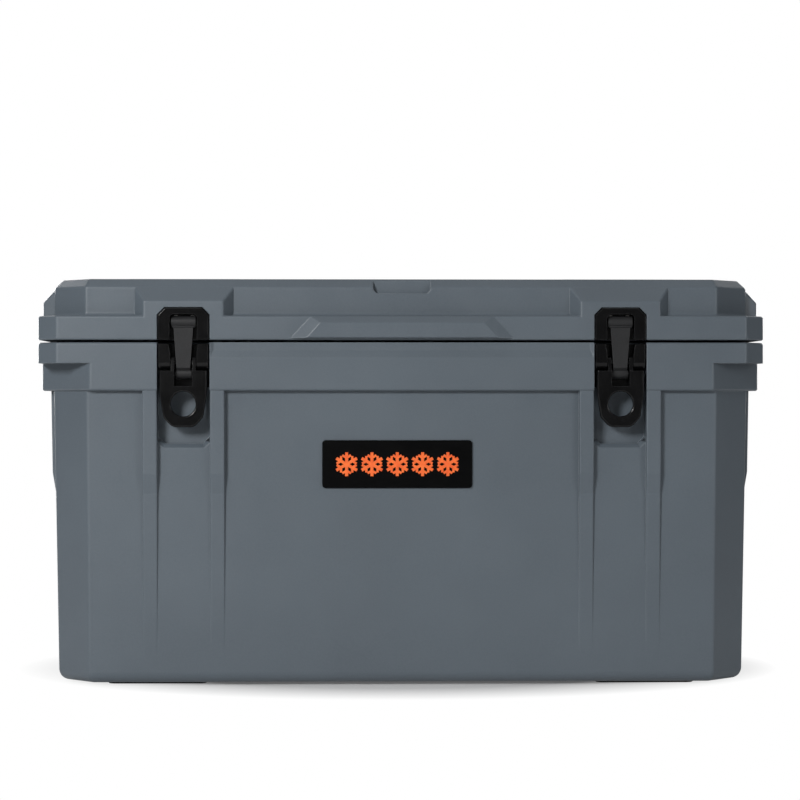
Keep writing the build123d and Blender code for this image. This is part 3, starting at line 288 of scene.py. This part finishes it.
def cast_foam():
    """Cream polyurethane foam: small closed cells under a thin skin."""
    f = Finish("cast_foam", Specular_IOR_Level=0.2)
    cells = f.cells(1.4 * MM)
    large = f.noise(25 * MM, 4.0, 0.6)
    colour = f.blend(f.spread(large, 0.3, 0.7), (0.70, 0.58, 0.33), (0.82, 0.72, 0.47))
    pored = f.blend(f.spread(cells, 0.0, 0.5, 0.5, 0.0), colour, (0.50, 0.38, 0.18))
    roughness = f.spread(large, 0.3, 0.7, 0.75, 0.92)
    normal = f.bump(cells, 0.3 * MM, 0.7)
    return f.wear(pored, roughness, normal)


def studio_white():
    """The floor: matte white paper. The camera sees it plain white outside an oval around the object.

    A light-path node does that, so the paper still lights the object by its real colour.
    """
    f = Finish(
        "studio_white",
        Specular_IOR_Level=0.1,
        Emission_Color=(1.0, 1.0, 1.0, 1.0),
        Emission_Strength=0.10,
    )
    fibre = f.noise(4 * MM, 3.0, 0.6)
    colour = f.blend(f.spread(fibre, 0.3, 0.7), (0.60, 0.60, 0.60), (0.64, 0.64, 0.64))
    f.wear(colour, f.spread(fibre, 0.3, 0.7, 0.85, 0.95), f.bump(fibre, 0.05 * MM, 0.2))
    reach = f.add("ShaderNodeVectorMath", operation="LENGTH")
    f.link(f.stretched(1 / SHADOW_HALF_WIDTH, 1 / SHADOW_HALF_DEPTH, 0.0), reach.inputs[0])
    beyond = reach.outputs["Value"]
    seen = f.add("ShaderNodeLightPath").outputs["Is Camera Ray"]
    burnt = f.calc("MULTIPLY", seen, f.spread(beyond, *SHADOW_FADE))
    white = f.add("ShaderNodeEmission")
    mixed = f.add("ShaderNodeMixShader")
    f.link(burnt, mixed.inputs[0])
    f.link(f.shader.outputs[0], mixed.inputs[1])
    f.link(white.outputs[0], mixed.inputs[2])
    f.link(mixed.outputs[0], f.output.inputs["Surface"])
    return f.material


finishes = {
    "shell": moulded_shell(),
    "foam": cast_foam(),
    "gasket": soft_rubber(
        "gasket_rubber", (0.010, 0.010, 0.010), (0.018, 0.018, 0.018), 0.7 * MM
    ),
    "hardware_black": glossy_black(),
    "link_black": matte_black(),
    "badge": badge_face(),
    "motif": orange_enamel(),
    "steel": brushed_steel(),
    "foot_rubber": soft_rubber(
        "foot_rubber", (0.011, 0.011, 0.011), (0.022, 0.021, 0.020), 1.1 * MM
    ),
}
finishes["drain_cap"] = finishes["hardware_black"]
finishes["pin_black"] = finishes["link_black"]

for name, node in nodes.items():
    for holder in node.material_slots:
        holder.material = finishes[slot_of[name]]


# ---------------------------------------------------------------- studio
def paper_floor(radius, sides=96):
    """A round sheet of white paper under the object."""
    angles = [2 * math.pi * i / sides for i in range(sides)]
    rim = [(radius * math.cos(angle), radius * math.sin(angle), 0.0) for angle in angles]
    mesh = bpy.data.meshes.new("studio_floor")
    mesh.from_pydata(rim, [], [tuple(range(sides))])
    mesh.materials.append(studio_white())
    made = bpy.data.objects.new("studio_floor", mesh)
    bpy.context.scene.collection.objects.link(made)
    return made


def softbox(name, azimuth, elevation, distance, size, watts):
    """An area light that looks at the object.

    Azimuth 0 is in front of the object and 90 to its right, in degrees.
    """
    turn, rise = math.radians(azimuth), math.radians(elevation)
    level = math.cos(rise)
    outward = Vector((math.sin(turn) * level, -math.cos(turn) * level, math.sin(rise)))
    lamp = bpy.data.lights.new(name, "AREA")
    lamp.shape = "RECTANGLE"
    lamp.size, lamp.size_y = size
    lamp.energy = watts
    holder = bpy.data.objects.new(name, lamp)
    holder.location = LAMP_AIM + distance * outward
    holder.rotation_mode = "QUATERNION"
    holder.rotation_quaternion = (-outward).to_track_quat("-Z", "Y")
    bpy.context.scene.collection.objects.link(holder)
    return holder


def studio_air():
    """White as a backdrop; as a light, dim near the horizon and brighter overhead."""
    air = bpy.data.worlds.new("studio_air")
    air.use_nodes = True
    tree = air.node_tree
    tree.nodes.clear()
    output = tree.nodes.new("ShaderNodeOutputWorld")
    choice = tree.nodes.new("ShaderNodeMixShader")
    seen = tree.nodes.new("ShaderNodeLightPath").outputs["Is Camera Ray"]
    glow = tree.nodes.new("ShaderNodeBackground")
    backdrop = tree.nodes.new("ShaderNodeBackground")
    direction = tree.nodes.new("ShaderNodeSeparateXYZ")
    tree.links.new(tree.nodes.new("ShaderNodeTexCoord").outputs["Generated"], direction.inputs[0])
    rise = tree.nodes.new("ShaderNodeMapRange")
    tree.links.new(direction.outputs["Z"], rise.inputs["Value"])
    for socket, number in zip(MAP_RANGE_SOCKETS, (0.0, 1.0, GLOW_AT_HORIZON, GLOW_OVERHEAD)):
        rise.inputs[socket].default_value = number
    tree.links.new(rise.outputs[0], glow.inputs["Strength"])
    glow.inputs["Color"].default_value = (1.0, 1.0, 1.0, 1.0)
    backdrop.inputs["Color"].default_value = (1.0, 1.0, 1.0, 1.0)
    tree.links.new(seen, choice.inputs[0])
    tree.links.new(glow.outputs[0], choice.inputs[1])
    tree.links.new(backdrop.outputs[0], choice.inputs[2])
    tree.links.new(choice.outputs[0], output.inputs["Surface"])
    return air


paper_floor(2.4)
softbox("key", -30.0, 20.0, 3.2, (0.7, 0.7), 70.0)
softbox("fill", 44.0, 12.0, 3.2, (0.9, 0.9), 15.5)
softbox("top", 0.0, 85.0, 3.2, (3.0, 2.4), 9.0)
softbox("rim_left", -142.0, 16.0, 2.8, (0.8, 1.4), 60.0)
softbox("rim_right", 142.0, 16.0, 2.8, (0.8, 1.4), 25.0)
bpy.context.scene.world = studio_air()
bpy.context.scene.view_settings.view_transform = "Standard"
bpy.context.scene.view_settings.look = "None"

# ---------------------------------------------------------------- camera
CAMERA_DISTANCE = 2.6  # from the front face, metres
CAMERA_HEIGHT = 0.311
CAMERA_TURN = math.radians(1.2)  # the camera stands a little to the left
AIM_X = -0.0025
FOCAL_LENGTH = 108.0  # mm

front_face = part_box("tub_shell")[0].y
lens = bpy.data.cameras.new("camera")
lens.lens = FOCAL_LENGTH
lens.sensor_width = SENSOR_WIDTH
camera = bpy.data.objects.new("camera", lens)
camera.location = (
    AIM_X - CAMERA_DISTANCE * math.sin(CAMERA_TURN),
    front_face - CAMERA_DISTANCE * math.cos(CAMERA_TURN),
    CAMERA_HEIGHT,
)
camera.rotation_euler = (math.pi / 2, 0.0, -CAMERA_TURN)
bpy.context.scene.collection.objects.link(camera)
bpy.context.scene.camera = camera
